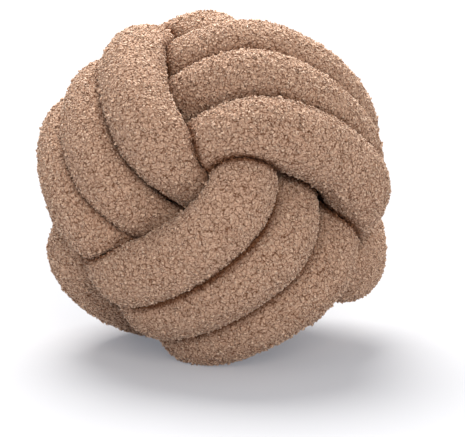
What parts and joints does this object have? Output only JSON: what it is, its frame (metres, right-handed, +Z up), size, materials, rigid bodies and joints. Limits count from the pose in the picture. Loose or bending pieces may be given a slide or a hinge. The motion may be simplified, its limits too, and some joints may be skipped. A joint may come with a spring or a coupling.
{
  "type": "knot cushion",
  "caption": "Ball-shaped scatter cushion: a stuffed tube of looped-pile cloth knotted over and under itself, with small flat spots where it rests.",
  "frame": {"origin": "on the surface it rests on, under the middle of the ball", "axes": "+Z up, -Y towards the front, where the bundles of strands meet in a three-sided corner, +X to the right as seen from the front"},
  "size_m": [0.2983, 0.3001, 0.2843],
  "materials": {
    "looped_cloth": "soft matt looped pile, warm light brown"
  },
  "bodies": {
    "root": {"knot": "looped_cloth"}
  },
  "joints": []
}
